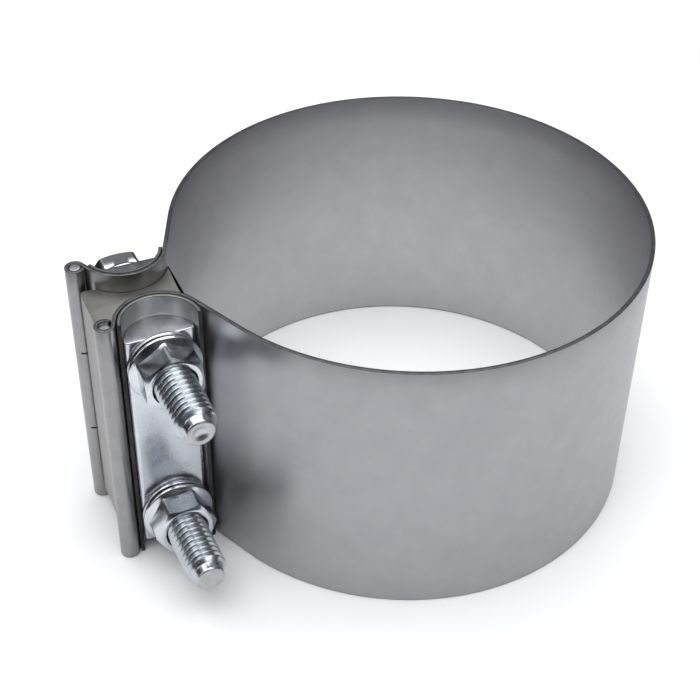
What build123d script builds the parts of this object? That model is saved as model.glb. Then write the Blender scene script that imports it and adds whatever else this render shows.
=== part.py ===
from build123d import *
import math
import os

# Wide-band exhaust / pipe repair clamp for a 127 mm (5 in) pipe.  Millimetres.
# Frame: origin at the centre of the pipe bore at mid-width of the band, +Z along
# the pipe, the bolted ear on the -X side, bolt heads at +Y, nuts at -Y.

# ---- driving dimensions -------------------------------------------------------
bore_r = 63.5            # inner radius of the band, 5 in pipe
band_w = 79.0            # width of the band along the pipe
sheet_t = 1.1            # band sheet thickness

trough_x = -75.1         # axis of each half-round trough (parallel to Z)
trough_y = 15.9
trough_r = 11.65         # radius of the block-facing side of the trough

pin_x = -88.2            # axis of each rod pin (parallel to Z)
pin_y = 12.95
pin_r = 1.5
loop_gap = 0.02          # rod pin to rolled eye, radial
loop_end_deg = 35.0      # where the rolled eye ends, beside the trough
slit_z = 13.2            # joint slits of the eye at one third and two thirds
slit_t = 0.5

liner_t = 1.0            # saddle liner inside each trough
liner_gap = 0.05
front_liner_a0 = -3.0    # liner arcs, measured about the trough axis
front_liner_a1 = 171.0
rear_liner_a0 = 17.0
rear_liner_a1 = 160.0

bar_gap = 0.06           # half-round bar to liner, radial
bar_flat_y = 14.9        # flat face of each bar, distance from the X axis
bar_len = 69.0
bar_shift = 0.8          # bars sit this far off centre along Z
bar_corner_r = 1.2

block_x = -88.7          # outer flat face of the spacer block
block_half_y = 9.6
block_len = 68.6
block_gap = 0.12         # block to band
block_end_r = 65.0       # hollow end that faces the pipe

bolt_d = 10.8            # 7/16-14 UNC, lower limit of the major diameter
bolt_z = 25.4            # bolts sit 50.8 mm (2 in) apart
hole_d = 11.9            # clearance holes
bolt_tip_y = -43.6
thread_pitch = 1.8143
head_af = 15.9
head_h = 6.6
washer_od = 18.9
washer_t = 1.6
washer_id = 11.1
seat_gap = 0.02          # between pieces that turn or slide on each other
nut_af = 15.0
nut_h = 8.6
nut_flange_d = 19.4
nut_flange_t = 1.3
nut_bore_r = bolt_d / 2 + 0.05
dog_r = 3.9              # end face of the bolt
dog_len = 2.3

os.makedirs("parts", exist_ok=True)


# ---- strip path helpers -------------------------------------------------------
def pol(c, r, a):
    return (c[0] + r * math.cos(math.radians(a)), c[1] + r * math.sin(math.radians(a)))


def seg_mirror_reverse(s):
    if s[0] == "line":
        return ("line", (s[2][0], -s[2][1]), (s[1][0], -s[1][1]))
    return ("arc", (s[1][0], -s[1][1]), s[2], -s[4], -s[3])


def seg_offset(s, d):
    """The segment moved d to the left of its direction."""
    if s[0] == "line":
        (x0, y0), (x1, y1) = s[1], s[2]
        ln = math.hypot(x1 - x0, y1 - y0)
        nx, ny = -(y1 - y0) / ln, (x1 - x0) / ln
        return ("line", (x0 + nx * d, y0 + ny * d), (x1 + nx * d, y1 + ny * d))
    r = s[2] - d if s[4] > s[3] else s[2] + d
    return ("arc", s[1], r, s[3], s[4])


def seg_ends(s):
    if s[0] == "line":
        return s[1], s[2]
    return pol(s[1], s[2], s[3]), pol(s[1], s[2], s[4])


def seg_edge(s):
    a, b = seg_ends(s)
    if s[0] == "line":
        return Line(a, b)
    return ThreePointArc(a, pol(s[1], s[2], 0.5 * (s[3] + s[4])), b)


def strip_face(path, t):
    left = [seg_offset(s, t / 2) for s in path]
    right = [seg_offset(s, -t / 2) for s in path]
    edges = [seg_edge(s) for s in left]
    edges.append(Line(seg_ends(left[-1])[1], seg_ends(right[-1])[1]))
    edges += [seg_edge(s) for s in reversed(right)]
    edges.append(Line(seg_ends(right[0])[0], seg_ends(left[0])[0]))
    return make_face(Wire([e for c in edges for e in c.edges()]).edges())


def prism(face, z0, z1):
    solid = extrude(face, amount=z1 - z0, dir=(0, 0, 1))
    return Pos(0, 0, z0) * solid


def y_cyl(x, z, r, y0, y1):
    return Pos(x, (y0 + y1) / 2, z) * Rot(90, 0, 0) * Cylinder(r, abs(y1 - y0))


def save(shape, name):
    shape.label = name
    export_step(shape, "parts/%s.step" % name)


# ---- band: one strip, from one rolled eye round the pipe to the other -----------
O = (0.0, 0.0)
C = (trough_x, -trough_y)
P = (pin_x, -pin_y)
ring_m = bore_r + sheet_t / 2
trough_m = trough_r - sheet_t / 2
loop_m = pin_r + loop_gap + sheet_t / 2

d_oc = math.hypot(*C)
dir_oc = math.degrees(math.atan2(C[1], C[0])) % 360
wall_a = dir_oc + math.degrees(math.acos((ring_m + trough_m) / d_oc))
T1 = pol(O, ring_m, wall_a)
T2 = pol(C, trough_m, wall_a - 180)

d_cp = math.hypot(P[0] - C[0], P[1] - C[1])
dir_cp = math.degrees(math.atan2(P[1] - C[1], P[0] - C[0])) % 360
eye_a = dir_cp - math.degrees(math.acos((trough_m + loop_m) / d_cp))
E1 = pol(C, trough_m, eye_a)
E2 = pol(P, loop_m, eye_a - 180)

front = [
    ("line", T1, T2),
    ("arc", C, trough_m, wall_a - 180, eye_a),
    ("line", E1, E2),
    ("arc", P, loop_m, eye_a - 180, loop_end_deg - 360),
]
ring = ("arc", O, ring_m, 360 - wall_a, wall_a - 360)
path = [seg_mirror_reverse(s) for s in reversed(front)] + [ring] + front
band = prism(strip_face(path, sheet_t), -band_w / 2, band_w / 2)
for z in (-bolt_z, bolt_z):
    band -= y_cyl(trough_x, z, hole_d / 2, -20, 20)
for sy in (-1, 1):
    for z in (-slit_z, slit_z):
        band -= Pos(pin_x - 0.1, sy * (pin_y - 1.8), z) * Box(3.0, 1.9, slit_t)
save(band, "band")

# ---- rod pins in the rolled eyes --------------------------------------------------
for name, sy, z0, z1 in (("front_pin", -1, -39.2, 38.6), ("rear_pin", 1, -38.6, 39.3)):
    pin = Pos(pin_x, sy * pin_y, (z0 + z1) / 2) * Cylinder(pin_r, z1 - z0)
    pin = chamfer(pin.edges().filter_by(GeomType.CIRCLE), 0.25)
    save(pin, name)

# ---- saddle liners ---------------------------------------------------------------
liner_m = trough_r - sheet_t - liner_gap - liner_t / 2
liner_in = liner_m - liner_t / 2
for name, sy, a0, a1 in (
    ("front_liner", -1, front_liner_a0, front_liner_a1),
    ("rear_liner", 1, rear_liner_a0, rear_liner_a1),
):
    lp = [("arc", C, liner_m, a0, a1)]
    if sy > 0:
        lp = [seg_mirror_reverse(lp[0])]
    liner = prism(strip_face(lp, liner_t), -band_w / 2, band_w / 2)
    for z in (-bolt_z, bolt_z):
        liner -= y_cyl(trough_x, z, hole_d / 2, -20, 20)
    save(liner, name)

# ---- half-round bars: the round side sits in the trough, the flat side takes the bolt
bar_r = liner_in - bar_gap
for name, sy, shift in (("front_bar", -1, -bar_shift), ("rear_bar", 1, bar_shift)):
    flat = sy * bar_flat_y
    cy = sy * trough_y
    disc = Pos(trough_x, cy) * Circle(bar_r)
    keep = Pos(trough_x, flat - sy * 20) * Rectangle(60, 40)
    prof = disc & keep
    prof = fillet(prof.vertices(), bar_corner_r)
    bar = prism(prof.faces()[0], -bar_len / 2 + shift, bar_len / 2 + shift)
    ends = bar.faces().sort_by(Axis.Z)
    bar = chamfer(ends[0].edges() + ends[-1].edges(), 0.35)
    for z in (-bolt_z, bolt_z):
        bar -= y_cyl(trough_x, z, hole_d / 2, -30, 30)
    save(bar, name)

# ---- spacer block between the two troughs ----------------------------------------
gap_r = trough_r + block_gap
wall_in = bore_r - block_gap
wing = math.sqrt(block_end_r ** 2 - wall_in ** 2)


def wall_pt(s):
    """Point on the block's wall-facing side, s mm from the foot towards the ear."""
    fx, fy = pol(O, wall_in, wall_a)
    ux, uy = -math.sin(math.radians(wall_a)), math.cos(math.radians(wall_a))
    if ux * (C[0] - fx) + uy * (C[1] - fy) < 0:
        ux, uy = -ux, -uy
    return (fx + ux * s, fy + uy * s)


Cg = C
side_a = 140.0
ta = wall_a - 180
B0 = (block_x, -block_half_y)
B1 = pol(Cg, gap_r, side_a)
B2 = pol(Cg, gap_r, ta)
B3 = wall_pt(wing)
mir = lambda p: (p[0], -p[1])
edges = [
    Line(mir(B0), B0),
    Line(B0, B1),
    ThreePointArc(B1, pol(Cg, gap_r, 0.5 * (side_a + ta)), B2),
    Line(B2, B3),
    ThreePointArc(B3, (-block_end_r, 0), mir(B3)),
    Line(mir(B3), mir(B2)),
    ThreePointArc(mir(B2), mir(pol(Cg, gap_r, 0.5 * (side_a + ta))), mir(B1)),
    Line(mir(B1), mir(B0)),
]
prof = make_face(Wire([e for c in edges for e in c.edges()]).edges())
prof = fillet(prof.vertices().sort_by(Axis.X)[:2], 1.6)
block = prism(prof.faces()[0], -block_len / 2, block_len / 2)
outer = block.faces().filter_by(Axis.X).sort_by(Axis.X)[0]
for z in (-bolt_z, bolt_z):
    block -= y_cyl(trough_x, z, hole_d / 2, -30, 30)
save(block, "spacer_block")

# ---- bolts: hex head at +Y, threaded end at -Y -------------------------------------
head_y0 = bar_flat_y + seat_gap + washer_t + seat_gap


def hex_prism(af, y0, y1, x, z, turn):
    face = RegularPolygon(af / 2, 6, major_radius=False, rotation=turn)
    body = extrude(face, amount=abs(y1 - y0))
    return Pos(x, max(y0, y1), z) * Rot(90, 0, 0) * body


def cone_cut(body, x, z, y_face, y_back, af, flat_r, drop):
    """Rounds the hexagon's corners with a 30 degree cone at y_face."""
    sgn = 1 if y_face > y_back else -1
    big = af * 0.62
    prof = Polyline(
        (0, y_face),
        (flat_r, y_face),
        (big, y_face - sgn * (big - flat_r) * drop),
        (big, y_back),
        (0, y_back),
        close=True,
    )
    tool = revolve(make_face(prof.edges()), Axis.Y)
    return body & (Pos(x, 0, z) * tool)


for tag, z, turn in (("upper", bolt_z, 42), ("lower", -bolt_z, 55)):
    head = hex_prism(head_af, head_y0, head_y0 + head_h, trough_x, z, turn)
    head = cone_cut(head, trough_x, z, head_y0 + head_h, head_y0, head_af, head_af * 0.46, 0.55)
    prof = Polyline(
        (0, head_y0 + 0.5),
        (bolt_d / 2, head_y0 + 0.5),
        (bolt_d / 2, bolt_tip_y + dog_len),
        (dog_r, bolt_tip_y + dog_len - (bolt_d / 2 - dog_r) * 0.9),
        (dog_r, bolt_tip_y + 0.4),
        (dog_r - 0.7, bolt_tip_y),
        (0, bolt_tip_y),
        close=True,
    )
    shank = Pos(trough_x, 0, z) * revolve(make_face(prof.edges()), Axis.Y)
    bolt = head + shank
    save(bolt, "bolt_" + tag)

    hw = y_cyl(trough_x, z, washer_od / 2, bar_flat_y + seat_gap, bar_flat_y + seat_gap + washer_t)
    hw -= y_cyl(trough_x, z, washer_id / 2, 0, 40)
    hw = chamfer(hw.edges().filter_by(GeomType.CIRCLE).sort_by(SortBy.RADIUS)[-2:], 0.3)
    save(hw, "head_washer_" + tag)

    y1 = -(bar_flat_y + seat_gap)
    nw = y_cyl(trough_x, z, washer_od / 2, y1 - washer_t, y1)
    nw -= y_cyl(trough_x, z, washer_id / 2, -40, 0)
    nw = chamfer(nw.edges().filter_by(GeomType.CIRCLE).sort_by(SortBy.RADIUS)[-2:], 0.3)
    save(nw, "nut_washer_" + tag)

# ---- flange nuts ----------------------------------------------------------------
nut_y0 = -(bar_flat_y + seat_gap + washer_t + seat_gap)
nut_y1 = nut_y0 - nut_h
for tag, z, turn in (("upper", bolt_z, 33), ("lower", -bolt_z, 1)):
    hexa = hex_prism(nut_af, nut_y0 - 0.4, nut_y1, trough_x, z, turn)
    hexa = cone_cut(hexa, trough_x, z, nut_y1, nut_y0 - 0.2, nut_af, nut_af * 0.46, 0.55)
    prof = Polyline(
        (0, nut_y0),
        (nut_flange_d / 2 - 0.3, nut_y0),
        (nut_flange_d / 2, nut_y0 - 0.3),
        (nut_flange_d / 2, nut_y0 - nut_flange_t),
        (nut_af / 2 - 0.4, nut_y0 - nut_flange_t - 1.6),
        (0, nut_y0 - nut_flange_t - 1.6),
        close=True,
    )
    flange = Pos(trough_x, 0, z) * revolve(make_face(prof.edges()), Axis.Y)
    nut = hexa + flange
    nut -= y_cyl(trough_x, z, nut_bore_r, nut_y0 + 1, nut_y1 - 1)
    save(nut, "nut_" + tag)

print("wall angle", wall_a, "T1", T1, "T2", T2, "eye angle", eye_a, "liner_in", liner_in, "bar_r", bar_r)
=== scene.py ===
import math
import bpy
import bmesh
from mathutils import Matrix, Vector


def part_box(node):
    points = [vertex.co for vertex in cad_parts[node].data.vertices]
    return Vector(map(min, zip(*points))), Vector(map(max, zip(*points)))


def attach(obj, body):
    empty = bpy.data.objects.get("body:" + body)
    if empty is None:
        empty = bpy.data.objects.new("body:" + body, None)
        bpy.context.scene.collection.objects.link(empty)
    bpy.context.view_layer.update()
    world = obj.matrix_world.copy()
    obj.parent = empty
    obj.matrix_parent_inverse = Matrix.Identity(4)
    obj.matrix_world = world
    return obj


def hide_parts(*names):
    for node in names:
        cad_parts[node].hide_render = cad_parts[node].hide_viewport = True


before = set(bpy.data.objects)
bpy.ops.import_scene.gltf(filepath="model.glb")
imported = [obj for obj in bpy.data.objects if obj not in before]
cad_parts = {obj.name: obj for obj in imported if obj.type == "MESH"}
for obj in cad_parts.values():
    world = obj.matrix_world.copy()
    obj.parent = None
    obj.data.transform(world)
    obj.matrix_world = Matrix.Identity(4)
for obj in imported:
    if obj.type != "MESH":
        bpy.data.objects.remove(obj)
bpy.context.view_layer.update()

# ---- dimensions of the clamp, millimetres, in the row frame ---------------------
BORE_R, BAND_W, SHEET_T = 63.5, 79.0, 1.1
TROUGH_X, TROUGH_Y, TROUGH_R = -75.1, 15.9, 11.65
PIN_X, PIN_Y, PIN_R, LOOP_GAP, LOOP_END = -88.2, 12.95, 1.5, 0.02, 35.0
SLIT_Z, SLIT_T = 13.2, 0.5
LINER_T, LINER_GAP = 1.0, 0.05
BAR_GAP, BAR_FLAT, BAR_LEN, BAR_SHIFT = 0.06, 14.9, 69.0, 0.8
BLOCK_X, BLOCK_HY, BLOCK_LEN, BLOCK_GAP, BLOCK_END_R = -88.7, 9.6, 68.6, 0.12, 65.0
BOLT_D, BOLT_Z, HOLE_D, TIP_S, PITCH = 10.8, 25.4, 11.9, 43.6, 1.8143
HEAD_AF, HEAD_H = 15.9, 6.6
WASHER_OD, WASHER_T, WASHER_ID, SEAT = 18.9, 1.6, 11.1, 0.02
NUT_AF, NUT_H, FLANGE_D, FLANGE_T = 15.0, 8.6, 19.4, 1.3
DOG_R, DOG_LEN = 3.9, 2.3


# ---- small helpers -----------------------------------------------------------------
def pol(c, r, a):
    return (c[0] + r * math.cos(math.radians(a)), c[1] + r * math.sin(math.radians(a)))


def mirror_reverse(s):
    if s[0] == "line":
        return ("line", (s[2][0], -s[2][1]), (s[1][0], -s[1][1]))
    return ("arc", (s[1][0], -s[1][1]), s[2], -s[4], -s[3])


def sample(path, step_deg, step_mm):
    """Points of the strip's middle line with the normal on its left: (x, y, nx, ny)."""
    out = []
    for s in path:
        if s[0] == "line":
            (x0, y0), (x1, y1) = s[1], s[2]
            ln = math.hypot(x1 - x0, y1 - y0)
            n = max(1, int(round(ln / step_mm)))
            nx, ny = -(y1 - y0) / ln, (x1 - x0) / ln
            pts = [(x0 + (x1 - x0) * k / n, y0 + (y1 - y0) * k / n, nx, ny) for k in range(n + 1)]
        else:
            _, c, r, a0, a1 = s
            step = step_deg if r < 30 else step_deg * 0.22
            n = max(2, int(math.ceil(abs(a1 - a0) / step)))
            sg = -1.0 if a1 > a0 else 1.0
            pts = []
            for k in range(n + 1):
                a = math.radians(a0 + (a1 - a0) * k / n)
                pts.append((c[0] + r * math.cos(a), c[1] + r * math.sin(a), sg * math.cos(a), sg * math.sin(a)))
        if out and math.hypot(out[-1][0] - pts[0][0], out[-1][1] - pts[0][1]) < 1e-5:
            pts = pts[1:]
        out += pts
    return out


def strip(bm, path, t, z0, z1, edge_r, step_deg=6.0, step_mm=1.5, rows=10):
    """A bent sheet strip with rounded edges: the path swept with a rounded section."""
    h = t / 2
    sec = []
    for k in range(rows + 1):
        sec.append((h, z0 + edge_r + (z1 - z0 - 2 * edge_r) * k / rows))
    for k in range(1, 3):
        a = math.radians(90 * k / 3)
        sec.append((h - edge_r + edge_r * math.cos(a), z1 - edge_r + edge_r * math.sin(a)))
    sec.append((h - edge_r, z1))
    sec.append((-h + edge_r, z1))
    for k in range(1, 3):
        a = math.radians(90 + 90 * k / 3)
        sec.append((-h + edge_r + edge_r * math.cos(a), z1 - edge_r + edge_r * math.sin(a)))
    for k in range(rows, -1, -1):
        sec.append((-h, z0 + edge_r + (z1 - z0 - 2 * edge_r) * k / rows))
    for k in range(1, 3):
        a = math.radians(180 + 90 * k / 3)
        sec.append((-h + edge_r + edge_r * math.cos(a), z0 + edge_r + edge_r * math.sin(a)))
    sec.append((-h + edge_r, z0))
    sec.append((h - edge_r, z0))
    for k in range(1, 3):
        a = math.radians(270 + 90 * k / 3)
        sec.append((h - edge_r + edge_r * math.cos(a), z0 + edge_r + edge_r * math.sin(a)))
    pts = sample(path, step_deg, step_mm)
    rings = [[bm.verts.new((x + nx * d, y + ny * d, z)) for d, z in sec] for x, y, nx, ny in pts]
    m = len(sec)
    for a, b in zip(rings, rings[1:]):
        for k in range(m):
            bm.faces.new((a[k], a[(k + 1) % m], b[(k + 1) % m], b[k]))
    bm.faces.new(rings[0])
    bm.faces.new(list(reversed(rings[-1])))


def arc_pts(c, r, a0, a1, n):
    return [pol(c, r, a0 + (a1 - a0) * k / n) for k in range(n + 1)]


def fillet_corner(p, q, r_pt, rad, n=6):
    """Points of a fillet of radius rad at q between p and r_pt."""
    ax, ay = p[0] - q[0], p[1] - q[1]
    bx, by = r_pt[0] - q[0], r_pt[1] - q[1]
    la, lb = math.hypot(ax, ay), math.hypot(bx, by)
    ax, ay, bx, by = ax / la, ay / la, bx / lb, by / lb
    half = math.acos(max(-1, min(1, ax * bx + ay * by))) / 2
    d = rad / math.tan(half)
    mx, my = ax + bx, ay + by
    lm = math.hypot(mx, my)
    cx, cy = q[0] + mx / lm * rad / math.sin(half), q[1] + my / lm * rad / math.sin(half)
    a0 = math.atan2(q[1] + ay * d - cy, q[0] + ax * d - cx)
    a1 = math.atan2(q[1] + by * d - cy, q[0] + bx * d - cx)
    while a1 - a0 > math.pi:
        a1 -= 2 * math.pi
    while a1 - a0 < -math.pi:
        a1 += 2 * math.pi
    return [(cx + rad * math.cos(a0 + (a1 - a0) * k / n), cy + rad * math.sin(a0 + (a1 - a0) * k / n)) for k in range(n + 1)]


def clean_loop(pts):
    out = []
    for p in pts:
        if not out or math.hypot(p[0] - out[-1][0], p[1] - out[-1][1]) > 1e-4:
            out.append(p)
    if math.hypot(out[0][0] - out[-1][0], out[0][1] - out[-1][1]) < 1e-4:
        out.pop()
    area = sum(a[0] * b[1] - b[0] * a[1] for a, b in zip(out, out[1:] + out[:1]))
    return out if area > 0 else out[::-1]


def inset(pts, d):
    n, out = len(pts), []
    for k in range(n):
        a, b, c = pts[k - 1], pts[k], pts[(k + 1) % n]
        e0 = Vector((b[0] - a[0], b[1] - a[1])).normalized()
        e1 = Vector((c[0] - b[0], c[1] - b[1])).normalized()
        n0, n1 = Vector((-e0.y, e0.x)), Vector((-e1.y, e1.x))
        m = n0 + n1
        m = m / max(m.length_squared / 2, 0.3)
        out.append((b[0] + m.x * d, b[1] + m.y * d))
    return out


def rounded_prism(bm, pts, z0, z1, r, n=4, rows=8):
    """A profile extruded along Z, with rounded end edges."""
    pts = clean_loop(pts)
    levels = [(z0 + r - r * math.cos(math.radians(90 * k / n)), r - r * math.sin(math.radians(90 * k / n))) for k in range(n + 1)]
    mid = [(z0 + r + (z1 - z0 - 2 * r) * k / rows, 0.0) for k in range(1, rows)]
    top = [(z1 + z0 - z, d) for z, d in reversed(levels)]
    rings = []
    for z, d in levels + mid + top:
        loop = inset(pts, d) if d > 1e-9 else pts
        rings.append([bm.verts.new((x, y, z)) for x, y in loop])
    m = len(pts)
    for a, b in zip(rings, rings[1:]):
        for k in range(m):
            bm.faces.new((a[k], a[(k + 1) % m], b[(k + 1) % m], b[k]))
    bm.faces.new(list(reversed(rings[0])))
    bm.faces.new(rings[-1])


def round_columns():
    return [2 * math.pi * k / 72 for k in range(72)]


def hex_columns(turn):
    sector = (-30.0, -28.3, -26.0, -18.0, -9.0, 0.0, 9.0, 18.0, 26.0, 28.3)
    return [math.radians(turn + 30 + 60 * k + a) for k in range(6) for a in sector]


def hex_radius(th, turn, af, corner_cut):
    d = (math.degrees(th) - turn) % 60.0 - 30.0
    r = af / 2 / math.cos(math.radians(d))
    top = af / 2 / math.cos(math.radians(30)) - corner_cut
    return min(r, top)


class Turned:
    """Rows of points round a bolt axis. s is the distance along -Y, th runs from X to Z."""

    def __init__(self, x, z, columns):
        self.bm, self.x, self.z, self.cols = bmesh.new(), x, z, columns

    def vert(self, th, r, s):
        return self.bm.verts.new((self.x + r * math.cos(th), -s, self.z + r * math.sin(th)))

    def rows(self, spec):
        """spec: list of (r, s), with r and s numbers or functions of the angle."""
        made = []
        for r, s in spec:
            row = []
            for th in self.cols:
                rr = r(th) if callable(r) else r
                ss = s(th, rr) if callable(s) else s
                row.append(self.vert(th, rr, ss))
            made.append(row)
        n = len(self.cols)
        for a, b in zip(made, made[1:]):
            for k in range(n):
                q = (k + 1) % n
                self.bm.faces.new((a[k], a[q], b[q], b[k]))

    def thread(self, s_a, s_b, r_a, r_b, profile, limit, blend_a, blend_b):
        """One helical surface from s_a to s_b, right-handed, that runs out to r_a and r_b."""
        kk, n = len(profile), len(self.cols)
        th0 = self.cols[0]
        base0 = math.floor(s_a / PITCH - 2) * PITCH
        turns = int(math.ceil((s_b - base0) / PITCH)) + 2
        grid = []
        for j in range(turns * kk + 1):
            t, u = divmod(j, kk)
            row = []
            for th in self.cols:
                s = base0 + PITCH * (t + profile[u][0] + (th - th0) / (2 * math.pi)) + PITCH * th0 / (2 * math.pi)
                r = limit(profile[u][1], s)
                if s <= s_a:
                    s, r = s_a, r_a
                elif s >= s_b:
                    s, r = s_b, r_b
                else:
                    if blend_a > 0 and s < s_a + blend_a:
                        w = (s - s_a) / blend_a
                        r = r_a + (r - r_a) * w
                    if blend_b > 0 and s > s_b - blend_b:
                        w = (s_b - s) / blend_b
                        r = r_b + (r - r_b) * w
                row.append(self.vert(th, r, s))
            grid.append(row)
        for j in range(len(grid) - 1):
            for k in range(n):
                if k < n - 1:
                    a, b, c, d = grid[j][k], grid[j][k + 1], grid[j + 1][k + 1], grid[j + 1][k]
                else:
                    if j + 1 + kk >= len(grid):
                        continue
                    a, b, c, d = grid[j][k], grid[j + kk][0], grid[j + 1 + kk][0], grid[j + 1][k]
                self.bm.faces.new((a, b, c, d))
        return grid


def close_small(bm):
    bmesh.ops.remove_doubles(bm, verts=bm.verts, dist=2e-3)
    loose = [v for v in bm.verts if not v.link_faces]
    if loose:
        bmesh.ops.delete(bm, geom=loose, context="VERTS")
    seen, twice = {}, []
    for f in bm.faces:
        key = tuple(sorted(v.index for v in f.verts))
        if key in seen or f.calc_area() < 1e-9:
            twice.append(f)
        else:
            seen[key] = f
    if twice:
        bmesh.ops.delete(bm, geom=twice, context="FACES_ONLY")


def place(name, bm, materials, body, node, angle=32.0, cutters=None, mat_of=None, double=False):
    """Turns the bmesh (millimetres) into a piece in metres that stands for a CAD node."""
    if double:
        bm.verts.index_update()
        close_small(bm)
    bmesh.ops.recalc_face_normals(bm, faces=bm.faces)
    me = bpy.data.meshes.new(name)
    bm.to_mesh(me)
    bm.free()
    obj = bpy.data.objects.new(name, me)
    bpy.context.scene.collection.objects.link(obj)
    if cutters is not None:
        cm = bpy.data.meshes.new(name + "_cut")
        bmesh.ops.recalc_face_normals(cutters, faces=cutters.faces)
        cutters.to_mesh(cm)
        cutters.free()
        cut = bpy.data.objects.new(name + "_cut", cm)
        bpy.context.scene.collection.objects.link(cut)
        mod = obj.modifiers.new("holes", "BOOLEAN")
        mod.operation, mod.solver, mod.object = "DIFFERENCE", "EXACT", cut
        bpy.context.view_layer.update()
        done = bpy.data.meshes.new_from_object(obj.evaluated_get(bpy.context.evaluated_depsgraph_get()))
        obj.modifiers.clear()
        obj.data = done
        bpy.data.objects.remove(cut)
        bpy.data.meshes.remove(me)
        me = done
        me.name = name
    me.transform(Matrix.Scale(0.001, 4))
    me.materials.clear()
    for m in materials:
        me.materials.append(m)
    for p in me.polygons:
        p.use_smooth = True
        p.material_index = mat_of(p) if mat_of else 0
    me.set_sharp_from_angle(angle=math.radians(angle))
    me.update()
    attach(obj, body)
    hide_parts(node)
    return obj


def cyl_y(bm, x, z, r, y0, y1, n=64):
    a = [bm.verts.new((x + r * math.cos(2 * math.pi * k / n), y0, z + r * math.sin(2 * math.pi * k / n))) for k in range(n)]
    b = [bm.verts.new((x + r * math.cos(2 * math.pi * k / n), y1, z + r * math.sin(2 * math.pi * k / n))) for k in range(n)]
    for k in range(n):
        bm.faces.new((a[k], a[(k + 1) % n], b[(k + 1) % n], b[k]))
    bm.faces.new(a)
    bm.faces.new(list(reversed(b)))


def box_cut(bm, cx, cy, cz, sx, sy, sz):
    v = [bm.verts.new((cx + i * sx / 2, cy + j * sy / 2, cz + k * sz / 2)) for i in (-1, 1) for j in (-1, 1) for k in (-1, 1)]
    for f in ((0, 1, 3, 2), (4, 6, 7, 5), (0, 4, 5, 1), (2, 3, 7, 6), (0, 2, 6, 4), (1, 5, 7, 3)):
        bm.faces.new([v[i] for i in f])


def bolt_holes(y0=-40, y1=40):
    bm = bmesh.new()
    for z in (-BOLT_Z, BOLT_Z):
        cyl_y(bm, TROUGH_X, z, HOLE_D / 2, y0, y1)
    return bm


# ---- materials --------------------------------------------------------------------------
def node(nt, kind, loc=(0, 0), **inputs):
    n = nt.nodes.new(kind)
    n.location = loc
    for k, v in inputs.items():
        n.inputs[k.replace("_", " ")].default_value = v
    return n


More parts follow.
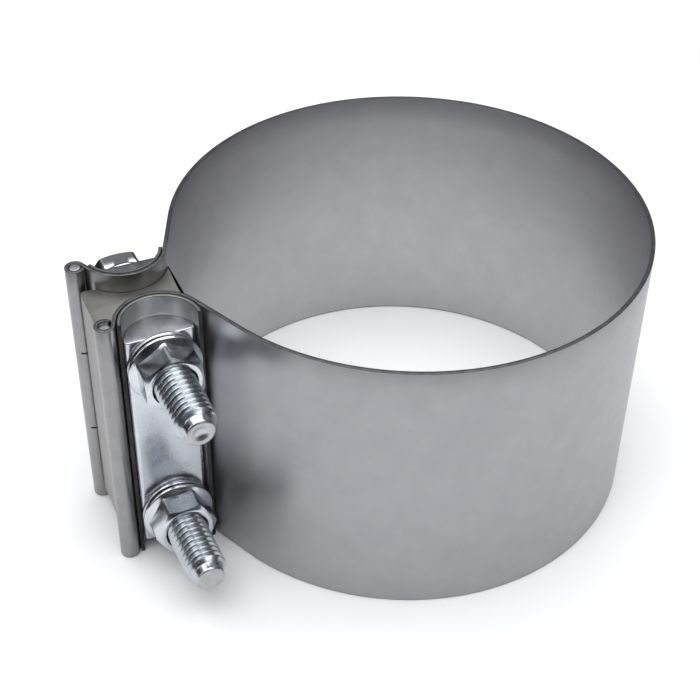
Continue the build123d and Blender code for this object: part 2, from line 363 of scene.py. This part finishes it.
def metal(name, dark, light, rough, broad=120.0, grain=2200.0, stretch=(1, 1, 1), bump=0.00002, wave=0.0,
          rim=None, speck=0.0, coat=0.0, spec_tint=None, worn=None):
    """Bare or plated metal: broad mottling, fine grain, optional darker sheared rim and specks."""
    m = bpy.data.materials.new(name)
    m.use_nodes = True
    nt = m.node_tree
    nt.nodes.clear()
    out = nt.nodes.new("ShaderNodeOutputMaterial")
    bs = nt.nodes.new("ShaderNodeBsdfPrincipled")
    bs.inputs["Metallic"].default_value = 1.0
    bs.inputs["Coat Weight"].default_value = coat
    nt.links.new(bs.outputs[0], out.inputs["Surface"])
    tc = nt.nodes.new("ShaderNodeTexCoord")
    mp = nt.nodes.new("ShaderNodeMapping")
    mp.inputs["Scale"].default_value = stretch
    nt.links.new(tc.outputs["Object"], mp.inputs["Vector"])
    mott = node(nt, "ShaderNodeTexNoise", Scale=broad, Detail=5.0, Roughness=0.55)
    nt.links.new(mp.outputs[0], mott.inputs["Vector"])
    fine = node(nt, "ShaderNodeTexNoise", Scale=grain, Detail=3.0, Roughness=0.6)
    nt.links.new(mp.outputs[0], fine.inputs["Vector"])
    col = nt.nodes.new("ShaderNodeMix")
    col.data_type = "RGBA"
    col.inputs[6].default_value = (*dark, 1)
    col.inputs[7].default_value = (*light, 1)
    add = nt.nodes.new("ShaderNodeMath")
    add.operation = "MULTIPLY_ADD"
    nt.links.new(fine.outputs["Fac"], add.inputs[0])
    add.inputs[1].default_value = 0.5
    nt.links.new(mott.outputs["Fac"], add.inputs[2])
    mr = node(nt, "ShaderNodeMapRange")
    mr.inputs["From Min"].default_value = 0.5
    mr.inputs["From Max"].default_value = 1.05
    nt.links.new(add.outputs[0], mr.inputs["Value"])
    nt.links.new(mr.outputs[0], col.inputs[0])
    colour = col.outputs[2]
    if speck > 0:
        vor = node(nt, "ShaderNodeTexNoise", Scale=900.0, Detail=2.0, Roughness=0.5)
        nt.links.new(tc.outputs["Object"], vor.inputs["Vector"])
        sm = node(nt, "ShaderNodeMapRange")
        sm.inputs["From Min"].default_value = 0.66
        sm.inputs["From Max"].default_value = 0.74
        sm.inputs["To Max"].default_value = speck
        nt.links.new(vor.outputs["Fac"], sm.inputs["Value"])
        mx = nt.nodes.new("ShaderNodeMix")
        mx.data_type = "RGBA"
        mx.inputs[7].default_value = (dark[0] * 0.55, dark[1] * 0.55, dark[2] * 0.55, 1)
        nt.links.new(sm.outputs[0], mx.inputs[0])
        nt.links.new(colour, mx.inputs[6])
        colour = mx.outputs[2]
    if rim is not None:
        sep = nt.nodes.new("ShaderNodeSeparateXYZ")
        nt.links.new(tc.outputs["Object"], sep.inputs[0])
        ab = nt.nodes.new("ShaderNodeMath")
        ab.operation = "ABSOLUTE"
        nt.links.new(sep.outputs["Z"], ab.inputs[0])
        rm = node(nt, "ShaderNodeMapRange")
        rm.inputs["From Min"].default_value = rim[0]
        rm.inputs["From Max"].default_value = rim[1]
        nt.links.new(ab.outputs[0], rm.inputs["Value"])
        mx = nt.nodes.new("ShaderNodeMix")
        mx.data_type = "RGBA"
        mx.inputs[7].default_value = (*rim[2], 1)
        nt.links.new(rm.outputs[0], mx.inputs[0])
        nt.links.new(colour, mx.inputs[6])
        colour = mx.outputs[2]
    nt.links.new(colour, bs.inputs["Base Color"])
    rr = node(nt, "ShaderNodeMapRange")
    rr.inputs["From Min"].default_value = 0.3
    rr.inputs["From Max"].default_value = 0.7
    rr.inputs["To Min"].default_value = rough[0]
    rr.inputs["To Max"].default_value = rough[1]
    r2 = node(nt, "ShaderNodeTexNoise", Scale=broad * 2.3, Detail=6.0, Roughness=0.65)
    nt.links.new(mp.outputs[0], r2.inputs["Vector"])
    nt.links.new(r2.outputs["Fac"], rr.inputs["Value"])
    nt.links.new(rr.outputs[0], bs.inputs["Roughness"])
    bp = nt.nodes.new("ShaderNodeBump")
    bp.inputs["Strength"].default_value = 0.6
    bp.inputs["Distance"].default_value = bump
    nt.links.new(fine.outputs["Fac"], bp.inputs["Height"])
    normal = bp.outputs[0]
    if wave > 0:
        wn = node(nt, "ShaderNodeTexNoise", Scale=22.0, Detail=1.5, Roughness=0.4)
        nt.links.new(tc.outputs["Object"], wn.inputs["Vector"])
        b2 = nt.nodes.new("ShaderNodeBump")
        b2.inputs["Strength"].default_value = 1.0
        b2.inputs["Distance"].default_value = wave
        nt.links.new(wn.outputs["Fac"], b2.inputs["Height"])
        nt.links.new(normal, b2.inputs["Normal"])
        normal = b2.outputs[0]
    nt.links.new(normal, bs.inputs["Normal"])
    return m


sheet_mat = metal("band_satin_sheet", (0.335, 0.335, 0.352), (0.375, 0.375, 0.392), (0.36, 0.42), broad=150, grain=3000,
                  bump=0.000010, wave=0.00016, speck=0.06)
ear_rim_mat = metal("sheared_ear_rim", (0.10, 0.10, 0.10), (0.19, 0.19, 0.188), (0.35, 0.5), broad=500, grain=3000,
                    stretch=(1, 1, 0.3), bump=0.00003)
liner_rim_mat = metal("sheared_liner_rim", (0.17, 0.17, 0.17), (0.26, 0.26, 0.26), (0.35, 0.5), broad=500, grain=3000,
                      stretch=(1, 1, 0.3), bump=0.00002)
# lighter copy of the band sheet for the ring's and neck's inside faces: painted light
inside_painted_light_mat = metal("band_satin_inside_painted_light", (0.435, 0.435, 0.452), (0.485, 0.485, 0.502), (0.38, 0.44), broad=150, grain=3000,
                   bump=0.000010, wave=0.00014, speck=0.05)
# darker copy of the band sheet for the ear and trough: painted shade
ear_painted_shade_mat = metal("ear_sheet_painted_shade", (0.27, 0.268, 0.27), (0.315, 0.313, 0.315), (0.28, 0.36), broad=260, grain=2600, bump=0.000006, speck=0.12)
# near-black painted shade for crevices and gaps: the trough's inner top edge against the liner, the edge beside the
# pins, the liner's ends and top seam, and the nut flange's undercut
crevice_shade_mat = metal("painted_crevice_shade", (0.022, 0.022, 0.024), (0.06, 0.06, 0.062), (0.35, 0.5), broad=500, grain=3000,
                stretch=(1, 1, 0.3), bump=0.00003)
ring_rim_mat = metal("sheared_ring_rim", (0.07, 0.07, 0.073), (0.14, 0.14, 0.146), (0.35, 0.5), broad=500, grain=3000,
                     stretch=(1, 1, 0.3), bump=0.00003)
liner_mat = metal("liner_sheet", (0.55, 0.55, 0.555), (0.64, 0.64, 0.65), (0.30, 0.38), broad=260, grain=2400, bump=0.000007, speck=0.12)
pin_mat = metal("rod_pin_steel", (0.42, 0.42, 0.42), (0.54, 0.54, 0.54), (0.30, 0.42), broad=400, grain=3000, bump=0.00002)
block_mat = metal("block_drawn_steel", (0.27, 0.268, 0.262), (0.34, 0.338, 0.33), (0.38, 0.50), broad=240, grain=2400,
                  stretch=(1, 1, 0.12), bump=0.000012, speck=0.15)
block_end = metal("block_sawn_end", (0.215, 0.212, 0.195), (0.295, 0.29, 0.27), (0.40, 0.55), broad=300, grain=1600,
                  stretch=(0.3, 1, 1), bump=0.00002, speck=0.2)
bar_mat = metal("bar_zinc_plate", (0.50, 0.52, 0.56), (0.62, 0.64, 0.68), (0.20, 0.30), broad=160, grain=2200,
                bump=0.000012, wave=0.00005, speck=0.1)
bar_end = metal("bar_sheared_end", (0.24, 0.25, 0.265), (0.38, 0.39, 0.41), (0.28, 0.42), broad=350, grain=1500,
                stretch=(1, 0.35, 1), bump=0.00002, speck=0.15)
washer_mat = metal("washer_zinc", (0.50, 0.52, 0.55), (0.66, 0.68, 0.71), (0.16, 0.26), broad=350, grain=2600, bump=0.000004)
nut_mat = metal("nut_zinc", (0.52, 0.55, 0.58), (0.66, 0.69, 0.72), (0.14, 0.22), broad=420, grain=2600, bump=0.000004)
thread_mat = metal("thread_zinc", (0.40, 0.43, 0.46), (0.54, 0.57, 0.60), (0.20, 0.28), broad=420, grain=2600, bump=0.000004)
tip_mat = metal("bolt_end_zinc", (0.36, 0.37, 0.38), (0.48, 0.49, 0.50), (0.26, 0.40), broad=500, grain=2600, bump=0.00003)

# ---- band strip -------------------------------------------------------------------------
O = (0.0, 0.0)
C = (TROUGH_X, -TROUGH_Y)
P = (PIN_X, -PIN_Y)
ring_m = BORE_R + SHEET_T / 2
trough_m = TROUGH_R - SHEET_T / 2
loop_m = PIN_R + LOOP_GAP + SHEET_T / 2
d_oc = math.hypot(*C)
dir_oc = math.degrees(math.atan2(C[1], C[0])) % 360
wall_a = dir_oc + math.degrees(math.acos((ring_m + trough_m) / d_oc))
T1, T2 = pol(O, ring_m, wall_a), pol(C, trough_m, wall_a - 180)
d_cp = math.hypot(P[0] - C[0], P[1] - C[1])
dir_cp = math.degrees(math.atan2(P[1] - C[1], P[0] - C[0])) % 360
eye_a = dir_cp - math.degrees(math.acos((trough_m + loop_m) / d_cp))
E1, E2 = pol(C, trough_m, eye_a), pol(P, loop_m, eye_a - 180)
front_path = [
    ("line", T1, T2),
    ("arc", C, trough_m, wall_a - 180, eye_a),
    ("line", E1, E2),
    ("arc", P, loop_m, eye_a - 180, LOOP_END - 360),
]
ring = ("arc", O, ring_m, 360 - wall_a, wall_a - 360)
band_path = [mirror_reverse(s) for s in reversed(front_path)] + [ring] + front_path

bm = bmesh.new()
strip(bm, band_path, SHEET_T, -BAND_W / 2, BAND_W / 2, 0.16)
cut = bolt_holes(-20, 20)
for sy in (-1, 1):
    for z in (-SLIT_Z, SLIT_Z):
        box_cut(cut, PIN_X - 0.1, sy * (PIN_Y - 1.8), z, 3.0, 1.9, SLIT_T)


# Material slots: 0 sheet, 1 ear in painted shade, 2 near-black painted crevice shade on the trough's inner top edge and
# beside the pin, 3 ring rim, 4 inside faces in painted light, 5 ear rim
def band_slot(p):
    c = p.center
    if abs(c.z) > (BAND_W / 2 - 0.17) * 0.001:
        if c.x > (TROUGH_X + 12) * 0.001:
            return 3
        r = math.hypot(c.x * 1000 - TROUGH_X, abs(c.y) * 1000 - TROUGH_Y)
        near_pin = math.hypot(c.x * 1000 - PIN_X, abs(c.y) * 1000 - PIN_Y)
        if r < TROUGH_R - SHEET_T + 0.2 and c.x * 1000 > PIN_X + 3:
            return 2
        return 2 if near_pin < PIN_R + 0.25 else 5
    if math.hypot(c.x, c.y) < (BORE_R + 0.3) * 0.001 and p.normal.x * c.x + p.normal.y * c.y < 0:
        return 4
    if c.x * 1000 < T2[0]:
        return 1
    return 4 if c.x * 1000 < T1[0] + 0.5 and p.normal.y * c.y < 0 else 0


place("clamp_band_strip", bm, [sheet_mat, ear_painted_shade_mat, crevice_shade_mat, ring_rim_mat, inside_painted_light_mat, ear_rim_mat], "clamp_band", "band", cutters=cut, mat_of=band_slot)

# ---- rod pins ------------------------------------------------------------------------------
for nm, nd, sy, z0, z1 in (("front_rod_pin", "front_pin", -1, -39.2, 38.6), ("rear_rod_pin", "rear_pin", 1, -38.6, 39.3)):
    bm = bmesh.new()
    rounded_prism(bm, [pol((PIN_X, sy * PIN_Y), PIN_R, 360 * k / 40) for k in range(40)], z0, z1, 0.3, n=4, rows=6)
    place(nm, bm, [pin_mat], "clamp_band", nd)

# ---- saddle liners ---------------------------------------------------------------------------
liner_m = TROUGH_R - SHEET_T - LINER_GAP - LINER_T / 2
for nm, nd, sy, a0, a1 in (("front_saddle_liner", "front_liner", -1, -3.0, 171.0), ("rear_saddle_liner", "rear_liner", 1, 17.0, 160.0)):
    path = [("arc", C, liner_m, a0, a1)]
    if sy > 0:
        path = [mirror_reverse(path[0])]
    bm = bmesh.new()
    strip(bm, path, LINER_T, -BAND_W / 2, BAND_W / 2, 0.24, step_deg=4.0)

    def liner_slot(p, sy=sy, a0=a0, a1=a1):
        c = p.center * 1000
        a = math.degrees(math.atan2(-sy * c.y + TROUGH_Y, c.x - TROUGH_X))
        r = math.hypot(-sy * c.y + TROUGH_Y, c.x - TROUGH_X)
        # painted shade: the top edge's outer strip against the band and the liner's two ends get the near-black crevice
        # shade
        gap_shade = abs(c.z) > BAND_W / 2 - 0.25 and r > liner_m + LINER_T / 2 - 0.28
        if gap_shade or a < a0 + 0.05 or a > a1 - 0.05:
            return 1
        return 2 if abs(c.z) > BAND_W / 2 - 0.25 else 0

    place(nm, bm, [liner_mat, crevice_shade_mat, liner_rim_mat], "clamp_band", nd, cutters=bolt_holes(), mat_of=liner_slot)

# ---- half-round bars ----------------------------------------------------------------------------
bar_r = liner_m - LINER_T / 2 - BAR_GAP
for nm, nd, sy in (("front_half_round_bar", "front_bar", -1), ("rear_half_round_bar", "rear_bar", 1)):
    c = (TROUGH_X, sy * TROUGH_Y)
    flat = sy * BAR_FLAT
    off = TROUGH_Y - BAR_FLAT
    h = math.sqrt(bar_r ** 2 - off ** 2)
    a = math.degrees(math.asin(off / bar_r))
    # the round side faces the X axis, the flat side faces away from it
    if sy < 0:
        arc = arc_pts(c, bar_r, a, 180 - a, 44)
    else:
        arc = arc_pts(c, bar_r, -a, a - 180, 44)
    r_c = 1.2
    body_pts = arc[4:-4]
    right = fillet_corner(arc[3], (c[0] + h, flat), (c[0], flat), r_c)
    left = fillet_corner((c[0], flat), (c[0] - h, flat), arc[-4], r_c)
    pts = body_pts + left[::-1] + right[::-1]
    if math.hypot(body_pts[-1][0] - left[-1][0], body_pts[-1][1] - left[-1][1]) > 3.5:
        pts = body_pts
    bm = bmesh.new()
    shift = BAR_SHIFT * sy
    rounded_prism(bm, pts, -BAR_LEN / 2 + shift, BAR_LEN / 2 + shift, 0.35)
    place(nm, bm, [bar_mat, bar_end], "clamp_band", nd, cutters=bolt_holes(),
          mat_of=lambda p: 1 if abs(p.normal.z) > 0.95 else 0)

# ---- spacer block -----------------------------------------------------------------------------------
gap_r = TROUGH_R + BLOCK_GAP
wall_in = BORE_R - BLOCK_GAP
wing = math.sqrt(BLOCK_END_R ** 2 - wall_in ** 2)
side_a, ta = 140.0, wall_a - 180
fx, fy = pol(O, wall_in, wall_a)
ux, uy = -math.sin(math.radians(wall_a)), math.cos(math.radians(wall_a))
if ux * (C[0] - fx) + uy * (C[1] - fy) < 0:
    ux, uy = -ux, -uy
B0 = (BLOCK_X, -BLOCK_HY)
B1 = pol(C, gap_r, side_a)
B3 = (fx + ux * (wing + 1.6), fy + uy * (wing + 1.6))
corner = fillet_corner((BLOCK_X, 0), B0, B1, 1.6, n=8)
half = corner + [B1] + arc_pts(C, gap_r, side_a, ta, 30)
a3 = math.degrees(math.atan2(fy + uy * wing, fx + ux * wing)) % 360
a3 -= math.degrees(1.6 / BLOCK_END_R)
inner = arc_pts(O, BLOCK_END_R, a3, 180, 14)
low = half + [B3] + inner
pts = low + [(x, -y) for x, y in reversed(low[:-1])]
bm = bmesh.new()
rounded_prism(bm, pts, -BLOCK_LEN / 2, BLOCK_LEN / 2, 0.1)
place("spacer_block_drawn", bm, [block_mat, block_end], "clamp_band", "spacer_block", cutters=bolt_holes(),
      mat_of=lambda p: 1 if abs(p.normal.z) > 0.95 else 0)

# ---- bolts, washers, nuts -----------------------------------------------------------------------------
R_MAJ, R_MIN = BOLT_D / 2, BOLT_D / 2 - 1.08
profile = [(0.0, R_MAJ), (0.06, R_MAJ - 0.02), (0.11, R_MAJ - 0.12), (0.25, R_MAJ - 0.55), (0.39, R_MIN + 0.10), (0.45, R_MIN + 0.01),
           (0.55, R_MIN + 0.01), (0.61, R_MIN + 0.10), (0.75, R_MAJ - 0.55), (0.89, R_MAJ - 0.12), (0.94, R_MAJ - 0.02)]
head_s0 = -(BAR_FLAT + SEAT + WASHER_T + SEAT)
nut_s0 = BAR_FLAT + SEAT + WASHER_T + SEAT
THREAD_A = 11.0
THREAD_B = TIP_S - DOG_LEN


def corner_angle(name, s0, s1):
    """Where the hexagon's corners are on the CAD node, in degrees from X towards Z."""
    best, at = 0.0, 0.0
    lo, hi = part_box(name)
    cx, cz = TROUGH_X * 0.001, (BOLT_Z if "upper" in name else -BOLT_Z) * 0.001
    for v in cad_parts[name].data.vertices:
        s = -v.co.y * 1000
        if s0 < s < s1:
            r = math.hypot(v.co.x - cx, v.co.z - cz)
            if r > best + 1e-6:
                best, at = r, math.degrees(math.atan2(v.co.z - cz, v.co.x - cx))
    return at % 60


for tag, z in (("upper", BOLT_Z), ("lower", -BOLT_Z)):
    # bolt: hexagon head, shank, thread, dog end
    turn = corner_angle("bolt_" + tag, head_s0 - HEAD_H * 0.8, head_s0 - 0.5)
    dimple = 0.75 if tag == "upper" else 0.25
    t = Turned(TROUGH_X, z, hex_columns(turn))
    hexr = lambda th, k=turn: hex_radius(th, k, HEAD_AF, 0.2)
    top = head_s0 - HEAD_H
    flat_r = HEAD_AF * 0.46
    cone = lambda th, r: top + max(0.0, r - flat_r) * 0.55
    spec = [(0.0, top + 0.02), (1.5, top + 0.02), (3.0, top + 0.01), (4.6, top), (flat_r - 0.3, top), (flat_r, top + 0.03)]
    for lim in (flat_r + 0.25, flat_r + 0.6, flat_r + 1.0, flat_r + 1.4, flat_r + 2.2):
        spec.append((lambda th, m=lim, f=hexr: min(m, f(th)), cone))
    spec += [(hexr, head_s0 - HEAD_H * 0.55), (hexr, head_s0 - 0.35), (lambda th, f=hexr: f(th) - 0.25, head_s0 - 0.05),
             (HEAD_AF / 2 - 0.4, head_s0), (R_MAJ + 0.5, head_s0), (R_MAJ + 0.02, head_s0 + 0.35), (R_MAJ - 0.02, head_s0 + 0.8)]
    spec += [(R_MAJ - 0.02, -10.0), (R_MAJ - 0.02, 0.0), (R_MAJ - 0.02, THREAD_A - 3), (R_MAJ - 0.02, THREAD_A)]
    t.rows(spec)

    def bolt_limit(r, s):
        return min(r, DOG_R + 0.12 + max(0.0, THREAD_B - s) * 1.15)

    t.thread(THREAD_A, THREAD_B, R_MAJ - 0.02, DOG_R + 0.1, profile, bolt_limit, 1.2, 0.25)
    t.rows([(DOG_R + 0.1, THREAD_B), (DOG_R - 0.02, THREAD_B + 0.18), (DOG_R - 0.05, TIP_S - 0.75), (DOG_R - 0.10, TIP_S - 0.45),
            (DOG_R - 0.28, TIP_S - 0.18), (DOG_R - 0.6, TIP_S - 0.03), (DOG_R - 0.9, TIP_S), (2.4, TIP_S), (2.1, TIP_S - 0.10 * dimple),
            (1.5, TIP_S - 0.55 * dimple), (0.8, TIP_S - 0.85 * dimple), (0.0, TIP_S - dimple)])
    tip_y = -(TIP_S - 0.3) * 0.001
    place(tag + "_bolt_threaded", t.bm, [thread_mat, tip_mat, nut_mat], "bolt_" + tag, "bolt_" + tag, angle=38, double=True,
          mat_of=lambda p, y=tip_y: 2 if p.center.y > BAR_FLAT * 0.001 else (1 if p.center.y < y and abs(p.normal.y) > 0.8 else 0))

    # washers
    for nm, nd, body, s in (("_head_washer_ring", "head_washer_", "bolt_", head_s0 + SEAT), ("_nut_washer_ring", "nut_washer_", "nut_washer_", BAR_FLAT + SEAT)):
        w = Turned(TROUGH_X, z, round_columns())
        ro, ri, e, s1 = WASHER_OD / 2, WASHER_ID / 2, 0.38, s + WASHER_T
        ring_rows = [(ri, s + e), (ri + e * 0.3, s + e * 0.3), (ri + e, s), (ro - e, s), (ro - e * 0.3, s + e * 0.3), (ro, s + e),
                     (ro, s1 - 0.62), (ro - 0.12, s1 - 0.45), (ro - 0.35, s1 - 0.30), (ro - 1.5, s1), (ri + e, s1), (ri + e * 0.3, s1 - e * 0.3), (ri, s1 - e), (ri, s + e)]
        w.rows(ring_rows)
        place(tag + nm, w.bm, [washer_mat], body + tag, nd + tag, angle=50, double=True)

    # flange nut with its own internal thread
    turn = corner_angle("nut_" + tag, nut_s0 + NUT_H * 0.4, nut_s0 + NUT_H * 0.95)
    n = Turned(TROUGH_X, z, hex_columns(turn))
    hexr = lambda th, k=turn: hex_radius(th, k, NUT_AF, 0.2)
    s1 = nut_s0 + NUT_H
    fr = NUT_AF * 0.46
    cone = lambda th, r, e=s1: e - max(0.0, r - fr) * 0.55
    rf = FLANGE_D / 2
    spec = [(R_MAJ + 0.35, s1 - 0.75), (R_MAJ + 0.45, s1 - 0.12), (R_MAJ + 0.62, s1), (fr - 0.3, s1), (fr, s1 - 0.03)]
    for lim in (fr + 0.25, fr + 0.6, fr + 1.0, fr + 1.4, fr + 2.2):
        spec.append((lambda th, m=lim, f=hexr: min(m, f(th)), cone))
    fl = nut_s0 + FLANGE_T
    spec += [(hexr, nut_s0 + NUT_H * 0.6)]
    spec += [(lambda th, f=hexr: f(th), lambda th, r: fl + max(0.25, (rf - 0.15 - r) * 0.42)),
             (lambda th, f=hexr: max(f(th) + 0.12, 8.3), lambda th, r: fl + (rf - r) * 0.34),
             (9.35, fl + 0.12), (rf - 0.12, fl - 0.02), (rf - 0.02, fl - 0.2), (rf, fl - 0.45), (rf, nut_s0 + 0.72), (rf - 0.10, nut_s0 + 0.60),
             (rf - 0.3, nut_s0 + 0.54), (rf - 1.7, nut_s0), (R_MAJ + 0.9, nut_s0), (R_MAJ + 0.35, nut_s0 + 0.45)]
    n.rows(spec)
    inner_profile = [(u, r + 0.05) for u, r in profile]
    n.thread(nut_s0 + 0.45, s1 - 0.75, R_MAJ + 0.35, R_MAJ + 0.35, inner_profile, lambda r, s: r, 0.7, 0.7)
    # the flange's undercut facing the washer gets the near-black painted crevice shade
    place(tag + "_flange_nut", n.bm, [nut_mat, crevice_shade_mat], "nut_" + tag, "nut_" + tag, angle=30, double=True,
          mat_of=lambda p, y=-(nut_s0 + 0.62) * 0.001: 1 if p.normal.y > 0.3 and p.center.y > y else 0)

# ---- stage: plain pale floor and soft studio light ---------------------------------------------------------
floor_me = bpy.data.meshes.new("floor")
bf = bmesh.new()
zf = -BAND_W / 2 * 0.001 - 0.0002
quad = [bf.verts.new((0.27 * math.cos(2 * math.pi * k / 96), 0.27 * math.sin(2 * math.pi * k / 96), zf)) for k in range(96)]
bf.faces.new(quad)
bf.to_mesh(floor_me)
bf.free()
floor = bpy.data.objects.new("floor", floor_me)
bpy.context.scene.collection.objects.link(floor)
fm = bpy.data.materials.new("floor_paper")
fm.use_nodes = True
fb = fm.node_tree.nodes["Principled BSDF"]
fn = fm.node_tree.nodes.new("ShaderNodeTexNoise")
fn.inputs["Scale"].default_value = 3.0
fr_ = fm.node_tree.nodes.new("ShaderNodeMapRange")
fr_.inputs["To Min"].default_value = 0.95
fr_.inputs["To Max"].default_value = 0.97
fm.node_tree.links.new(fn.outputs["Fac"], fr_.inputs["Value"])
fm.node_tree.links.new(fr_.outputs[0], fb.inputs["Base Color"])
fb.inputs["Roughness"].default_value = 0.9
floor_me.materials.append(fm)

scene = bpy.context.scene
world = bpy.data.worlds.new("studio")
scene.world = world
world.use_nodes = True
wn = world.node_tree
wn.nodes.clear()
wo = wn.nodes.new("ShaderNodeOutputWorld")
bg_light = wn.nodes.new("ShaderNodeBackground")
bg_seen = wn.nodes.new("ShaderNodeBackground")
wtc = wn.nodes.new("ShaderNodeTexCoord")
wsp = wn.nodes.new("ShaderNodeSeparateXYZ")
wn.links.new(wtc.outputs["Generated"], wsp.inputs[0])
wmr = wn.nodes.new("ShaderNodeMapRange")
wmr.inputs["From Min"].default_value = -1.0
wn.links.new(wsp.outputs["Z"], wmr.inputs["Value"])
wcr = wn.nodes.new("ShaderNodeValToRGB")
wcr.color_ramp.elements[0].position = 0.5
wcr.color_ramp.elements[0].color = (0.035, 0.037, 0.042, 1)
wcr.color_ramp.elements[1].position = 1.0
wcr.color_ramp.elements[1].color = (0.50, 0.52, 0.55, 1)
for pos, v in ((0.72, 0.07), (0.86, 0.32)):
    e = wcr.color_ramp.elements.new(pos)
    e.color = (v * 0.96, v * 0.98, v * 1.04, 1)
wn.links.new(wmr.outputs[0], wcr.inputs[0])
wnz = wn.nodes.new("ShaderNodeTexNoise")
wnz.inputs["Scale"].default_value = 2.2
wnz.inputs["Detail"].default_value = 1.0
wn.links.new(wtc.outputs["Generated"], wnz.inputs["Vector"])
wst = wn.nodes.new("ShaderNodeMapRange")
wst.inputs["From Min"].default_value = 0.40
wst.inputs["From Max"].default_value = 0.62
wst.inputs["To Min"].default_value = 0.35
wst.inputs["To Max"].default_value = 2.2
wn.links.new(wnz.outputs["Fac"], wst.inputs["Value"])
wn.links.new(wcr.outputs[0], bg_light.inputs["Color"])
wn.links.new(wst.outputs[0], bg_light.inputs["Strength"])
bg_seen.inputs["Color"].default_value = (1, 1, 1, 1)
bg_seen.inputs["Strength"].default_value = 1.0
lp = wn.nodes.new("ShaderNodeLightPath")
mix = wn.nodes.new("ShaderNodeMixShader")
wn.links.new(lp.outputs["Is Camera Ray"], mix.inputs[0])
wn.links.new(bg_light.outputs[0], mix.inputs[1])
wn.links.new(bg_seen.outputs[0], mix.inputs[2])
wn.links.new(mix.outputs[0], wo.inputs["Surface"])


def area(name, loc, target, sx, sy, power, colour=(1, 1, 1)):
    li = bpy.data.lights.new(name, "AREA")
    li.shape, li.size, li.size_y, li.energy, li.color = "RECTANGLE", sx, sy, power, colour
    ob = bpy.data.objects.new(name, li)
    scene.collection.objects.link(ob)
    ob.location = loc
    ob.rotation_mode = "QUATERNION"
    ob.rotation_quaternion = (Vector(target) - Vector(loc)).to_track_quat("-Z", "Y")
    return ob


area("top_softbox", (0.0, 0.0, 1.3), (0, 0, 0), 1.9, 1.9, 25.0)
area("left_softbox", (-1.3, -0.5, 0.7), (0, 0, 0), 0.5, 1.0, 3.0)
area("front_softbox", (0.5, -1.4, 0.8), (0, 0, 0), 0.8, 0.5, 3.0)

# ---- camera -----------------------------------------------------------------------------------------------------
eye = Vector((-147.839, -282.542, 255.081)) * 0.001
aim = Vector((-13.673, 7.154, -7.352)) * 0.001
roll = 0.019772
fw = (aim - eye).normalized()
right = fw.cross(Vector((0, 0, 1))).normalized()
up = right.cross(fw)
r2 = right * math.cos(roll) + up * math.sin(roll)
u2 = up * math.cos(roll) - right * math.sin(roll)
cam = bpy.data.cameras.new("camera")
cam.sensor_width, cam.lens = 36.0, 73.936
cam.clip_start, cam.clip_end = 0.01, 50
cam_ob = bpy.data.objects.new("camera", cam)
scene.collection.objects.link(cam_ob)
cam_ob.matrix_world = Matrix(((r2.x, u2.x, -fw.x, eye.x), (r2.y, u2.y, -fw.y, eye.y), (r2.z, u2.z, -fw.z, eye.z), (0, 0, 0, 1)))
scene.camera = cam_ob
scene.view_settings.view_transform = "Standard"
scene.view_settings.look = "None"
